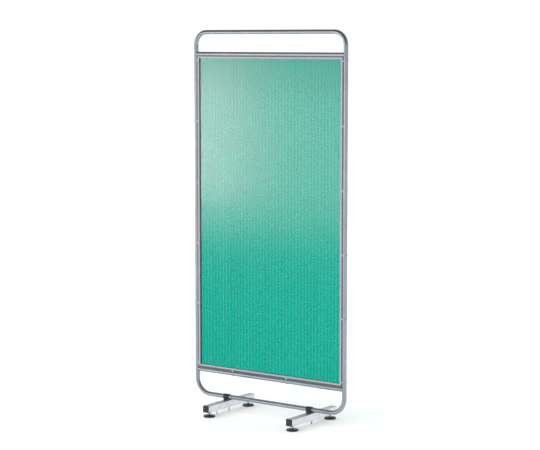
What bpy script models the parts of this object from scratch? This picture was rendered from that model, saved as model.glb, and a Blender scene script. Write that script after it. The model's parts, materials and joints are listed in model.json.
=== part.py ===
"""Free-standing shop screen.

A ribbed, see-through green sheet is held by a grooved edge frame, which is screwed
between the posts and rails of a round tube loop, with dark seal strips in the joint.  Two square tube feet cross under the
loop, each held by a split clamp block and one bolt, and stand on four screw-in
levelling pads.

Metres, +Z up.  X runs along the screen and Y through it.  The origin is on the floor,
half way between the ends of the feet and half way between the posts.
"""
import math

import bmesh
import bpy
from mathutils import Vector

GAP = 0.0003                    # running gap between pieces that touch

# Tube loop
SCREEN_WIDTH = 0.900            # outside the posts
SCREEN_Y = -0.016               # plane of the tubes, in front of the clamp bolts
TUBE_RADIUS = 0.01065           # 21.3 mm tube
TUBE_WALL = 0.0015
TOP_Z = 1.862                   # centre line of the top run
BASE_Z = 0.0767                 # centre line of the bottom run
TOP_BEND = 0.062                # centre line bend radii
BASE_BEND = 0.077
SEAM_Z = 0.975                  # where the two bent halves meet in the posts
SLEEVE_LENGTH = 0.080
TOP_RAIL_Z = 1.7563
BOTTOM_RAIL_Z = 0.1956
TUBE_SIDES = 16
BEND_STEPS = 5

# Edge frame and sheet
BAR_FACE = 0.008                # width of an edge bar seen from the front
BAR_DEPTH = 0.018
TOP_SPACE = 0.0015              # joint between the top edge bar and the top rail
SIDE_SPACE = 0.0030             # joint between an upright edge bar and its post
BOTTOM_SPACE = 0.0080           # joint between the bottom edge bar and the bottom rail
STRIP_DEPTH = 0.015             # seal strip that fills the joint
STRIP_STEPS = 6                 # flats in its hollow side, which hugs the tube
GROOVE_DEPTH = 0.0055
SHEET_THICKNESS = 0.004
SHEET_SKIN = 0.0007
SHEET_BITE = 0.005              # how far the sheet enters the groove
FLUTE_COUNT = 100
RIB_WIDTH = 0.0011

# Screws through the posts and through the bottom rail into the edge bars
SCREWS_PER_POST = 6
SCREW_END_DISTANCE = 0.016      # from an end of the edge frame to the first screw
SCREW_RADIUS = 0.0021
SCREW_HEAD_RADIUS = 0.0042
SCREW_HEAD_HEIGHT = 0.0026
SCREW_BITE = 0.0021             # how far the tip enters the edge bar
RAIL_SCREW_X = (-0.217, 0.108)

# Feet
FOOT_X = {"left": -0.2555, "right": 0.2415}
FOOT_SIZE = 0.034
FOOT_WALL = 0.002
FOOT_CORNER = 0.003
FOOT_LENGTH = 0.372             # over the end caps
FOOT_Z = 0.0251                 # underside of the foot tube
CAP_HEAD = 0.003
CAP_PLUG = 0.014

# Clamp on each foot: block, bolt, washer and nut
BLOCK_LENGTH = 0.030            # along X
BLOCK_WALL = 0.0029             # round the tube
BLOCK_NECK = 0.0100             # front of the block's base, in front of the tube's centre
LUG_HEIGHT = 0.0085
LUG_REACH = 0.010               # behind the bolt
BLOCK_SLIT = 0.0012
BOLT_RADIUS = 0.003
BOLT_HEAD_RADIUS = 0.00525
BOLT_HEAD_HEIGHT = 0.0032
BOLT_TIP_Z = 0.0030
WASHER_RADIUS = 0.008
WASHER_HEIGHT = 0.0016
NUT_FLAT = 0.010                # across flats
NUT_HEIGHT = 0.008

# Levelling pads, screwed into inserts under each foot
PAD_Y = 0.157                   # from the middle of the foot
PAD_RADIUS = 0.0288
PAD_HEIGHT = 0.0115
PAD_RIM = 0.0060                # height of the pad's upright edge
STUD_RADIUS = 0.004
STUD_TOP_Z = 0.050
STUD_HEX_FLAT = 0.0138
STUD_HEX_Z = (0.0118, 0.0136)
STUD_CONE_Z = 0.0172            # top of the cone above the hexagon
STUD_CONE_RADIUS = 0.0046
INSERT_RADIUS = 0.007
INSERT_COLLAR_RADII = (0.0068, 0.0090)
INSERT_COLLAR = 0.005           # height of the collar under the foot
INSERT_LENGTH = 0.018

# Pin hanging under the front half of the left foot
PIN_Y = -0.098
PIN_RADIUS = 0.0022
PIN_HEAD_RADIUS = 0.0038
PIN_LOW_Z = 0.0030
PIN_TOP_Z = 0.0335

POST_X = SCREEN_WIDTH / 2 - TUBE_RADIUS
TUBE_BORE = TUBE_RADIUS - TUBE_WALL
FRAME_HALF_WIDTH = POST_X - TUBE_RADIUS - SIDE_SPACE
FRAME_LOW_Z = BOTTOM_RAIL_Z + TUBE_RADIUS + BOTTOM_SPACE
FRAME_HIGH_Z = TOP_RAIL_Z - TUBE_RADIUS - TOP_SPACE
GROOVE_WIDTH = SHEET_THICKNESS + 2 * GAP
FOOT_TOP_Z = FOOT_Z + FOOT_SIZE


# ---------------------------------------------------------------- materials

def make_material(name, colour, roughness, metallic=0.0, transmission=0.0):
    """A plain Principled material."""
    material = bpy.data.materials.new(name)
    material.use_nodes = True
    shader = material.node_tree.nodes["Principled BSDF"]
    shader.inputs["Base Color"].default_value = (*colour, 1.0)
    shader.inputs["Roughness"].default_value = roughness
    shader.inputs["Metallic"].default_value = metallic
    shader.inputs["Transmission Weight"].default_value = transmission
    return material


def make_materials():
    """One material for each kind of surface."""
    return {
        "tube_metal": make_material("tube_metal", (0.52, 0.56, 0.60), 0.25, 1.0),
        "dark_rubber": make_material("dark_rubber", (0.05, 0.07, 0.08), 0.7),
        "edge_bar": make_material("edge_bar", (0.60, 0.55, 0.58), 0.40, 0.3),
        "green_sheet": make_material("green_sheet", (0.03, 0.46, 0.36), 0.20, 0.0, 0.6),
        "foot_metal": make_material("foot_metal", (0.62, 0.62, 0.66), 0.35, 0.7),
        "black_plastic": make_material("black_plastic", (0.02, 0.02, 0.022), 0.5),
        "zinc": make_material("zinc", (0.66, 0.70, 0.70), 0.3, 1.0),
    }


# ---------------------------------------------------------------- mesh tools

def add_object(name, mesh, material, location=(0, 0, 0), parent=None):
    """Put a mesh in the scene under a name, with smooth sides and sharp corners."""
    mesh.shade_smooth()
    mesh.set_sharp_from_angle(angle=math.radians(35))
    mesh.materials.clear()
    mesh.materials.append(material)
    thing = bpy.data.objects.new(name, mesh)
    thing.location = location
    thing.parent = parent
    bpy.context.collection.objects.link(thing)
    return thing


def add_empty(name, location):
    """A named point that other objects hang from."""
    empty = bpy.data.objects.new(name, None)
    empty.location = location
    bpy.context.collection.objects.link(empty)
    return empty


def finish_mesh(bm, name):
    """Close a bmesh with its faces pointing out."""
    bmesh.ops.recalc_face_normals(bm, faces=bm.faces)
    mesh = bpy.data.meshes.new(name)
    bm.to_mesh(mesh)
    bm.free()
    return mesh


def add_loft(bm, rings, closed=False):
    """Join rings of points, in order; closed joins the last to the first."""
    loops = [[bm.verts.new(point) for point in ring] for ring in rings]
    pairs = list(zip(loops, loops[1:]))
    if closed:
        pairs.append((loops[-1], loops[0]))
    for low, high in pairs:
        count = len(low)
        for i in range(count):
            j = (i + 1) % count
            bm.faces.new((low[i], low[j], high[j], high[i]))
    if not closed:
        bm.faces.new(loops[0])
        bm.faces.new(loops[-1])


def loft(name, rings, closed=False):
    """A mesh made of one loft."""
    bm = bmesh.new()
    add_loft(bm, rings, closed)
    return finish_mesh(bm, name)


def circle(radius, z, sides, axis="Z", hexagon=False):
    """Points round an axis; a hexagon has flats 2 * radius apart."""
    points = []
    for i in range(sides):
        angle = math.tau * i / sides
        reach = radius
        if hexagon:
            off_flat = angle % (math.pi / 3) - math.pi / 6
            reach = radius / math.cos(off_flat)
        a, b = reach * math.cos(angle), reach * math.sin(angle)
        points.append({"X": Vector((z, a, b)), "Y": Vector((b, z, a)), "Z": Vector((a, b, z))}[axis])
    return points


def turned(name, profile, sides, axis="Z", closed=False):
    """A turned piece; each profile entry is (radius, height) or (flat, height, 'hex')."""
    rings = [circle(step[0], step[1], sides, axis, len(step) > 2) for step in profile]
    return loft(name, rings, closed)


def rounded_rectangle(width, height, corner, steps=3):
    """Corner points of a rectangle with round corners, as (across, up) pairs."""
    points = []
    for quarter, (sx, sz) in enumerate(((1, 1), (-1, 1), (-1, -1), (1, -1))):
        centre_x = sx * (width / 2 - corner)
        centre_z = sz * (height / 2 - corner)
        for i in range(steps + 1):
            angle = math.pi / 2 * (quarter + i / steps)
            points.append((centre_x + corner * math.cos(angle), centre_z + corner * math.sin(angle)))
    return points


def drill(thing, name, holes):
    """Cut round holes, each given as (point, axis, radius, low, high)."""
    bm = bmesh.new()
    for point, axis, radius, low, high in holes:
        rings = [circle(radius, low, 12, axis), circle(radius, high, 12, axis)]
        add_loft(bm, [[Vector(point) + corner for corner in ring] for ring in rings])
    cut(thing, name, finish_mesh(bm, name))


def cut(thing, name, mesh, location=(0, 0, 0)):
    """Take a mesh out of an object with a Boolean modifier."""
    cutter = bpy.data.objects.new(name, mesh)
    cutter.location = location
    cutter.parent = thing.parent
    cutter.hide_render = True
    cutter.display_type = "WIRE"
    bpy.context.collection.objects.link(cutter)
    modifier = thing.modifiers.new(name, "BOOLEAN")
    modifier.operation = "DIFFERENCE"
    modifier.solver = "EXACT"
    modifier.object = cutter


# ---------------------------------------------------------------- tube loop

def swept_tube(name, path, outer, inner, sides):
    """A hollow tube along a path in the XZ plane."""
    outside, inside = [], []
    for i, point in enumerate(path):
        before, after = path[max(i - 1, 0)], path[min(i + 1, len(path) - 1)]
        along = (after - before).normalized()
        across = along.cross(Vector((0, 1, 0)))
        for radius, rings in ((outer, outside), (inner, inside)):
            ring = []
            for k in range(sides):
                angle = math.tau * k / sides
                offset = across * math.cos(angle) + Vector((0, 1, 0)) * math.sin(angle)
                ring.append(point + offset * radius)
            rings.append(ring)
    return loft(name, outside + inside[::-1], closed=True)


def bent_path(run_z, bend, end_z):
    """Centre line of a U: up or down one post, round two bends and back to end_z."""
    side = 1 if run_z > end_z else -1
    path = [Vector((-POST_X, 0, end_z))]
    for centre_x, start in ((-POST_X + bend, math.pi), (POST_X - bend, math.pi / 2)):
        for i in range(BEND_STEPS + 1):
            angle = start - math.pi / 2 * i / BEND_STEPS
            up = side * bend * math.sin(angle)
            path.append(Vector((centre_x + bend * math.cos(angle), 0, run_z - side * bend + up)))
    path.append(Vector((POST_X, 0, end_z)))
    return path


def screw_heights():
    """Heights of the screws in each post, evenly spaced along the edge frame."""
    low = FRAME_LOW_Z + SCREW_END_DISTANCE
    high = FRAME_HIGH_Z - SCREW_END_DISTANCE
    return [low + (high - low) * i / (SCREWS_PER_POST - 1) for i in range(SCREWS_PER_POST)]


def make_loop(materials):
    """The outer loop: two bent halves, joined in the posts by inner sleeves."""
    metal = materials["tube_metal"]
    halves = (
        ("frame_tube_upper", TOP_Z, TOP_BEND, SEAM_Z + GAP / 2),
        ("frame_tube_lower", BASE_Z, BASE_BEND, SEAM_Z - GAP / 2),
    )
    hole = SCREW_RADIUS + GAP
    reach = POST_X + TUBE_RADIUS + SIDE_SPACE
    for name, run_z, bend, end_z in halves:
        mesh = swept_tube(name, bent_path(run_z, bend, end_z), TUBE_RADIUS, TUBE_BORE, TUBE_SIDES)
        half = add_object(name, mesh, metal, (0, SCREEN_Y, 0))
        low, high = min(run_z, end_z), max(run_z, end_z)
        holes = []
        for z in screw_heights():
            if low < z < high:
                place = (0, SCREEN_Y, z)
                holes.append((place, "X", hole, -reach, -FRAME_HALF_WIDTH))
                holes.append((place, "X", hole, FRAME_HALF_WIDTH, reach))
        drill(half, name + "_holes", holes)
    for side, sign in (("left", -1), ("right", 1)):
        outer = TUBE_BORE - GAP
        inner = outer - TUBE_WALL
        end = SLEEVE_LENGTH / 2
        profile = [(outer, -end), (outer, end), (inner, end), (inner, -end)]
        mesh = turned("joint_sleeve", profile, TUBE_SIDES, closed=True)
        add_object("joint_sleeve_" + side, mesh, materials["zinc"], (sign * POST_X, SCREEN_Y, SEAM_Z))


def make_rails(materials):
    """The two cross rails, their ends cut to sit on the posts."""
    half = POST_X
    for name, z in (("top_rail", TOP_RAIL_Z), ("bottom_rail", BOTTOM_RAIL_Z)):
        profile = [(TUBE_RADIUS, -half), (TUBE_RADIUS, half), (TUBE_BORE, half), (TUBE_BORE, -half)]
        mesh = turned(name, profile, TUBE_SIDES, axis="X", closed=True)
        rail = add_object(name, mesh, materials["tube_metal"], (0, SCREEN_Y, z))
        bm = bmesh.new()
        for x in (-POST_X, POST_X):
            rings = [circle(TUBE_RADIUS + GAP, end, 2 * TUBE_SIDES) for end in (-0.03, 0.03)]
            add_loft(bm, [[point + Vector((x, 0, 0)) for point in ring] for ring in rings])
        cut(rail, name + "_saddles", finish_mesh(bm, name + "_saddles"), (0, SCREEN_Y, z))
        if name == "bottom_rail":
            hole = SCREW_RADIUS + GAP
            reach = 2 * TUBE_RADIUS
            holes = [((x, SCREEN_Y, z), "Z", hole, -reach, reach) for x in RAIL_SCREW_X]
            drill(rail, "bottom_rail_holes", holes)


# ---------------------------------------------------------------- sheet and edge frame

def bar_profile():
    """Section of an edge bar as (inward, through) pairs, with its groove facing in."""
    face, deep, groove = BAR_FACE, BAR_DEPTH / 2, GROOVE_WIDTH / 2
    floor = face - GROOVE_DEPTH
    return [(0, -deep), (face, -deep), (face, -groove), (floor, -groove),
            (floor, groove), (face, groove), (face, deep), (0, deep)]


def strip_profile(space):
    """Section of a seal strip, as bar_profile; its outer side is hollow and hugs the tube."""
    deep = STRIP_DEPTH / 2
    points = [(-GAP, deep), (-GAP, -deep)]
    for i in range(STRIP_STEPS + 1):
        through = deep * (2 * i / STRIP_STEPS - 1)
        tube = math.sqrt((TUBE_RADIUS + GAP) ** 2 - through ** 2)
        points.append((tube - TUBE_RADIUS - space, through))
    return points


def long_bar(name, half_length, profile, mitred):
    """A bar along X with 45 degree or square ends; +Z is inward from the edge frame's outer face."""
    rings = []
    for end in (-1, 1):
        rings.append([Vector((end * (half_length - GAP - mitred * inward), through, inward))
                      for inward, through in profile])
    return loft(name, rings)


def screw_holes(side):
    """Holes for the screws on one side of the edge frame, through its bar and its strip."""
    hole = SCREW_RADIUS + GAP
    if side == "bottom":
        low = -TUBE_RADIUS - BOTTOM_SPACE
        return [((x, SCREEN_Y, FRAME_LOW_Z), "Z", hole, low, BAR_FACE) for x in RAIL_SCREW_X]
    if side == "left":
        place, low, high = -FRAME_HALF_WIDTH, -TUBE_RADIUS, BAR_FACE
    else:
        place, low, high = FRAME_HALF_WIDTH, -BAR_FACE, TUBE_RADIUS
    return [((place, SCREEN_Y, z), "X", hole, low, high) for z in screw_heights()]


def make_edge_frame(materials):
    """Four mitred bars round the sheet, and the seal strips between them and the tubes."""
    half_height = (FRAME_HIGH_Z - FRAME_LOW_Z) / 2
    middle_z = (FRAME_HIGH_Z + FRAME_LOW_Z) / 2
    sides = (
        ("bottom", FRAME_HALF_WIDTH, SIDE_SPACE, BOTTOM_SPACE, (0, SCREEN_Y, FRAME_LOW_Z), 0),
        ("top", FRAME_HALF_WIDTH, SIDE_SPACE, TOP_SPACE, (0, SCREEN_Y, FRAME_HIGH_Z), math.pi),
        ("left", half_height, 0, SIDE_SPACE, (-FRAME_HALF_WIDTH, SCREEN_Y, middle_z), math.pi / 2),
        ("right", half_height, 0, SIDE_SPACE, (FRAME_HALF_WIDTH, SCREEN_Y, middle_z), -math.pi / 2),
    )
    for side, half_length, overrun, space, place, turn in sides:
        pieces = (
            ("panel_frame_", half_length, bar_profile(), True, "edge_bar"),
            ("seal_strip_", half_length + overrun, strip_profile(space), False, "dark_rubber"),
        )
        for kind, reach, profile, mitred, slot in pieces:
            name = kind + side
            bar = add_object(name, long_bar(name, reach, profile, mitred), materials[slot], place)
            bar.rotation_euler = (0, turn, 0)
            if side != "top":
                drill(bar, name + "_holes", screw_holes(side))


def box_points(low, high):
    """The two end rings, at the low and high z, of a box between two corners."""
    ring = ((low[0], low[1]), (high[0], low[1]), (high[0], high[1]), (low[0], high[1]))
    return [[Vector((x, y, z)) for x, y in ring] for z in (low[2], high[2])]


def make_sheet(materials):
    """The twin-wall sheet: two skins joined by upright ribs, its flutes open at the ends."""
    half_width = FRAME_HALF_WIDTH - BAR_FACE + SHEET_BITE
    low_z = FRAME_LOW_Z + BAR_FACE - SHEET_BITE
    high_z = FRAME_HIGH_Z - BAR_FACE + SHEET_BITE
    deep = SHEET_THICKNESS / 2
    mesh = loft("panel_sheet", box_points((-half_width, -deep, low_z), (half_width, deep, high_z)))
    sheet = add_object("panel_sheet", mesh, materials["green_sheet"], (0, SCREEN_Y, 0))
    pitch = (2 * half_width - RIB_WIDTH) / FLUTE_COUNT
    inside = deep - SHEET_SKIN
    bm = bmesh.new()
    for i in range(FLUTE_COUNT):
        left = -half_width + RIB_WIDTH + i * pitch
        right = left + pitch - RIB_WIDTH
        add_loft(bm, box_points((left, -inside, low_z - 0.01), (right, inside, high_z + 0.01)))
    cut(sheet, "sheet_flutes", finish_mesh(bm, "sheet_flutes"), (0, SCREEN_Y, 0))


def screw_mesh(name, length):
    """A pan head screw along -Z from the underside of its head at z = 0."""
    crown = SCREW_HEAD_RADIUS * 0.62
    tip = SCREW_RADIUS * 0.5
    profile = [(crown, SCREW_HEAD_HEIGHT), (SCREW_HEAD_RADIUS * 0.92, SCREW_HEAD_HEIGHT * 0.7),
               (SCREW_HEAD_RADIUS, 0.0004), (SCREW_HEAD_RADIUS, 0), (SCREW_RADIUS, 0),
               (SCREW_RADIUS, 0.001 - length), (tip, -length)]
    return turned(name, profile, 10)


def make_screws(materials):
    """Screws through each post, and through the bottom rail, into the edge bars."""
    seat = POST_X + TUBE_RADIUS + GAP
    length = seat - FRAME_HALF_WIDTH + SCREW_BITE
    for side, sign in (("left", -1), ("right", 1)):
        for number, z in enumerate(screw_heights(), 1):
            mesh = screw_mesh("post_screw", length)
            name = "post_screw_%s_%d" % (side, number)
            screw = add_object(name, mesh, materials["zinc"], (sign * seat, SCREEN_Y, z))
            screw.rotation_euler = (0, sign * math.pi / 2, 0)
    seat_z = BOTTOM_RAIL_Z - TUBE_RADIUS - GAP
    for number, x in enumerate(RAIL_SCREW_X, 1):
        mesh = screw_mesh("rail_screw", FRAME_LOW_Z - seat_z + SCREW_BITE)
        screw = add_object("rail_screw_%d" % number, mesh, materials["zinc"], (x, SCREEN_Y, seat_z))
        screw.rotation_euler = (math.pi, 0, 0)


# ---------------------------------------------------------------- feet

def square_ring(size, corner, y):
    """A rounded square round the Y axis."""
    return [Vector((x, y, z)) for x, z in rounded_rectangle(size, size, corner)]


def make_foot_tube(side, parent, materials):
    """A square tube along Y with holes for the bolt, the inserts and, on the left, the pin."""
    end = FOOT_LENGTH / 2 - CAP_HEAD - GAP
    hollow = FOOT_SIZE - 2 * FOOT_WALL
    rings = [square_ring(FOOT_SIZE, FOOT_CORNER, -end), square_ring(FOOT_SIZE, FOOT_CORNER, end),
             square_ring(hollow, FOOT_CORNER / 2, end), square_ring(hollow, FOOT_CORNER / 2, -end)]
    mesh = loft("foot_tube", rings, closed=True)
    centre_z = FOOT_Z + FOOT_SIZE / 2
    tube = add_object("foot_tube_" + side, mesh, materials["foot_metal"], (0, 0, centre_z), parent)
    under = FOOT_SIZE / 2 + 0.002
    holes = [((0, 0, centre_z), "Z", BOLT_RADIUS + GAP, -under, under)]
    for y in (-PAD_Y, PAD_Y):
        holes.append(((0, y, centre_z), "Z", INSERT_RADIUS + GAP, -under, 0))
    if side == "left":
        holes.append(((0, PIN_Y, centre_z), "Z", PIN_RADIUS + GAP, -under, 0))
    drill(tube, "foot_holes_" + side, holes)


def make_foot_cap(side, end_name, sign, parent, materials):
    """A plastic end cap: a chamfered head outside the tube and a plug inside it."""
    plug = FOOT_SIZE - 2 * FOOT_WALL - 2 * GAP
    edge = 0.0008
    rings = [square_ring(plug - 2 * edge, 0.001, -sign * CAP_PLUG),
             square_ring(plug, 0.0012, -sign * (CAP_PLUG - 0.002)),
             square_ring(plug, 0.0012, 0),
             square_ring(FOOT_SIZE, FOOT_CORNER, 0),
             square_ring(FOOT_SIZE, FOOT_CORNER, sign * (CAP_HEAD - edge)),
             square_ring(FOOT_SIZE - 2 * edge, FOOT_CORNER - edge, sign * CAP_HEAD)]
    name = "foot_cap_%s_%s" % (side, end_name)
    place = (0, sign * (FOOT_LENGTH / 2 - CAP_HEAD), FOOT_Z + FOOT_SIZE / 2)
    add_object(name, loft("foot_cap", rings), materials["black_plastic"], place, parent)


def block_outline():
    """Side outline of the clamp block as (through, up) pairs from the tube's centre.

    It runs up the front from the narrow base, over the tube, down to the rear lug, along the slit into the
    bore, round the bore and back out along the slit.
    """
    rise = BASE_Z - FOOT_TOP_Z
    outer = TUBE_RADIUS + BLOCK_WALL
    bore = TUBE_RADIUS + GAP
    low = GAP - rise
    lug_top = low + LUG_HEIGHT
    rear = -SCREEN_Y + LUG_REACH
    slit_low = low + LUG_HEIGHT * 0.5 - BLOCK_SLIT / 2
    slit_high = slit_low + BLOCK_SLIT
    lug_angle = math.asin(lug_top / outer)
    neck_angle = math.pi + math.acos(BLOCK_NECK / outer)
    points = [(-BLOCK_NECK, low)]
    for i in range(15):
        angle = neck_angle + (lug_angle - neck_angle) * i / 14
        points.append((outer * math.cos(angle), outer * math.sin(angle)))
    points += [(rear, lug_top), (rear, slit_high)]
    start = math.asin(max(slit_high, -bore * 0.98) / bore)
    stop = math.asin(max(slit_low, -bore * 0.995) / bore) + math.tau
    for i in range(21):
        angle = start + (stop - start) * i / 20
        points.append((bore * math.cos(angle), bore * math.sin(angle)))
    points += [(rear, slit_low), (rear, low)]
    return points


def make_clamp(side, parent, materials):
    """The split block that holds the bottom tube on the foot, with its bolt and nut."""
    offset = Vector((0, SCREEN_Y, BASE_Z))
    rings = [[Vector((x, y, z)) + offset for y, z in block_outline()]
             for x in (-BLOCK_LENGTH / 2, BLOCK_LENGTH / 2)]
    block = add_object("clamp_block_" + side, loft("clamp_block", rings),
                       materials["black_plastic"], (0, 0, 0), parent)
    lug_top = FOOT_TOP_Z + GAP + LUG_HEIGHT
    holes = [((0, 0, 0), "Z", BOLT_RADIUS + GAP, FOOT_TOP_Z - 0.002, lug_top + 0.002),
             ((0, 0, 0), "Z", BOLT_HEAD_RADIUS + GAP, lug_top, lug_top + 0.03)]
    drill(block, "clamp_block_holes_" + side, holes[:1])
    drill(block, "clamp_block_pocket_" + side, holes[1:])

    seat = lug_top + GAP
    head = [(BOLT_HEAD_RADIUS * 0.55, seat + BOLT_HEAD_HEIGHT),
            (BOLT_HEAD_RADIUS * 0.9, seat + BOLT_HEAD_HEIGHT * 0.6),
            (BOLT_HEAD_RADIUS, seat + 0.0005), (BOLT_HEAD_RADIUS, seat)]
    shank = [(BOLT_RADIUS, seat), (BOLT_RADIUS, BOLT_TIP_Z + 0.001), (BOLT_RADIUS * 0.75, BOLT_TIP_Z)]
    add_object("clamp_bolt_" + side, turned("clamp_bolt", head + shank, 12),
               materials["zinc"], (0, 0, 0), parent)

    washer_top = FOOT_Z - GAP
    washer_low = washer_top - WASHER_HEIGHT
    bore = BOLT_RADIUS + GAP
    profile = [(WASHER_RADIUS, washer_low), (WASHER_RADIUS, washer_top), (bore, washer_top),
               (bore, washer_low)]
    add_object("clamp_washer_" + side, turned("clamp_washer", profile, 16, closed=True),
               materials["zinc"], (0, 0, 0), parent)
    nut_top = washer_low - GAP
    nut_low = nut_top - NUT_HEIGHT
    profile = [(NUT_FLAT / 2, nut_low, "hex"), (NUT_FLAT / 2, nut_top, "hex"), (bore, nut_top),
               (bore, nut_low)]
    add_object("clamp_nut_" + side, turned("clamp_nut", profile, 12, closed=True),
               materials["zinc"], (0, 0, 0), parent)


def make_levelling_foot(side, end_name, sign, parent, materials):
    """A threaded insert in the foot, the stud that turns in it, and the pad it turns on."""
    tag = "_%s_%s" % (side, end_name)
    place = (0, sign * PAD_Y, 0)
    bore = STUD_RADIUS + GAP
    step = FOOT_Z - GAP
    low = step - INSERT_COLLAR
    top = low + INSERT_LENGTH
    narrow, wide = INSERT_COLLAR_RADII
    profile = [(narrow, low), (wide, step), (INSERT_RADIUS, step), (INSERT_RADIUS, top),
               (bore, top), (bore, low)]
    add_object("foot_insert" + tag, turned("foot_insert", profile, 16, closed=True),
               materials["black_plastic"], place, parent)

    hex_low, hex_high = STUD_HEX_Z
    ball = 0.0048
    socket_low = PAD_HEIGHT - 0.0045
    profile = [(ball, socket_low + GAP), (ball, hex_low), (STUD_HEX_FLAT / 2, hex_low, "hex"),
               (STUD_HEX_FLAT / 2, hex_high, "hex"), (STUD_CONE_RADIUS, STUD_CONE_Z),
               (STUD_RADIUS, STUD_CONE_Z),
               (STUD_RADIUS, STUD_TOP_Z - 0.001), (STUD_RADIUS * 0.75, STUD_TOP_Z)]
    add_object("level_stud" + tag, turned("level_stud", profile, 12), materials["zinc"], place, parent)

    socket = ball + GAP
    profile = [(PAD_RADIUS - 0.001, 0), (PAD_RADIUS, 0.001), (PAD_RADIUS, PAD_RIM),
               (PAD_RADIUS - 0.002, PAD_RIM + 0.002), (0.0125, PAD_RIM + 0.0036),
               (0.0090, PAD_HEIGHT - 0.0005), (0.0085, PAD_HEIGHT), (socket, PAD_HEIGHT), (socket, socket_low)]
    add_object("level_pad" + tag, turned("level_pad", profile, 18), materials["black_plastic"],
               place, parent)


def make_pin(parent, materials):
    """The thin pin that hangs under the front of the left foot, wider at its low end."""
    profile = [(PIN_HEAD_RADIUS * 0.8, PIN_LOW_Z), (PIN_HEAD_RADIUS, PIN_LOW_Z + 0.001),
               (PIN_HEAD_RADIUS, PIN_LOW_Z + 0.006), (PIN_RADIUS, PIN_LOW_Z + 0.007),
               (PIN_RADIUS, PIN_TOP_Z)]
    add_object("foot_pin_left", turned("foot_pin", profile, 12), materials["zinc"],
               (0, PIN_Y, 0), parent)


def make_feet(materials):
    """Both feet with everything fixed to them."""
    for side, x in FOOT_X.items():
        parent = add_empty("foot_place_" + side, (x, 0, 0))
        make_foot_tube(side, parent, materials)
        make_clamp(side, parent, materials)
        for end_name, sign in (("front", -1), ("rear", 1)):
            make_foot_cap(side, end_name, sign, parent, materials)
            make_levelling_foot(side, end_name, sign, parent, materials)
        if side == "left":
            make_pin(parent, materials)


def main():
    """Clear the scene and build the screen."""
    for thing in list(bpy.data.objects):
        bpy.data.objects.remove(thing)
    materials = make_materials()
    make_loop(materials)
    make_rails(materials)
    make_edge_frame(materials)
    make_sheet(materials)
    make_screws(materials)
    make_feet(materials)


main()
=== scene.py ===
"""Looks of the free-standing screen: round metal tube loop, ribbed green sheet, two feet."""
import json
import math
import random

import bmesh
import bpy
from mathutils import Matrix, Vector


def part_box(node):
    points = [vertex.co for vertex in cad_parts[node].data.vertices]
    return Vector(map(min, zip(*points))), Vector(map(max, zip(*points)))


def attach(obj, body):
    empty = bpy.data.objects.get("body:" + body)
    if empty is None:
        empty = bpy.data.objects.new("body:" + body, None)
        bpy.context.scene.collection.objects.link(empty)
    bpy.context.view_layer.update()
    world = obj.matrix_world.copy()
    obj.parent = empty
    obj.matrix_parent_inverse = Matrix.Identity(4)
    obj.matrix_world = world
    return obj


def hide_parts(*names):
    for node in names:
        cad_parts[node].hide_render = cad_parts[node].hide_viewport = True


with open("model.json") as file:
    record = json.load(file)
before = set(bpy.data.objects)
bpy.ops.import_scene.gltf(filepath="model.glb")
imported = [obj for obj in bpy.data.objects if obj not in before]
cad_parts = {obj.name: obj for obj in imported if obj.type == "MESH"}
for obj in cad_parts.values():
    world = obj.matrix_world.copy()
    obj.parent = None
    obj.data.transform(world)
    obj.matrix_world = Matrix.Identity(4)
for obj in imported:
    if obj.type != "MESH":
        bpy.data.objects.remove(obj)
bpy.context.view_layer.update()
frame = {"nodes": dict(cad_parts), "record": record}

ROOT = "screen"
SIDES = ("left", "right")
ENDS = ("front", "rear")

# ------------------------------------------------------------ places read from the frame


def middle(node):
    """Centre of a node's box."""
    low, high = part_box(node)
    return (Vector(low) + Vector(high)) / 2


def span(node, axis):
    """Lowest and highest value of a node along one axis (0, 1 or 2)."""
    low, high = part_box(node)
    return low[axis], high[axis]


TUBE_LOW, TUBE_HIGH = span("top_rail", 2)
TUBE_R = (TUBE_HIGH - TUBE_LOW) / 2
TUBE_WALL = 0.0015
SCREEN_Y = middle("top_rail").y
POST_X = span("frame_tube_upper", 0)[1] - TUBE_R
TOP_Z = span("frame_tube_upper", 2)[1] - TUBE_R
BASE_Z = span("frame_tube_lower", 2)[0] + TUBE_R
SEAM_LOW = span("frame_tube_lower", 2)[1]
SEAM_HIGH = span("frame_tube_upper", 2)[0]
TOP_BEND = 0.062
BASE_BEND = 0.077
FRAME_X = span("panel_frame_bottom", 0)[1] + 0.0003
FRAME_LOW = span("panel_frame_bottom", 2)[0]
FRAME_HIGH = span("panel_frame_top", 2)[1]
BAR_FACE = FRAME_HIGH - span("panel_frame_top", 2)[0]
BAR_DEEP = (span("panel_frame_top", 1)[1] - span("panel_frame_top", 1)[0]) / 2
SHEET_LOW, SHEET_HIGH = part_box("panel_sheet")
FOOT_Z = span("foot_tube_left", 2)[0]
FOOT_SIZE = span("foot_tube_left", 2)[1] - FOOT_Z

# ------------------------------------------------------------ node tools


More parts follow.
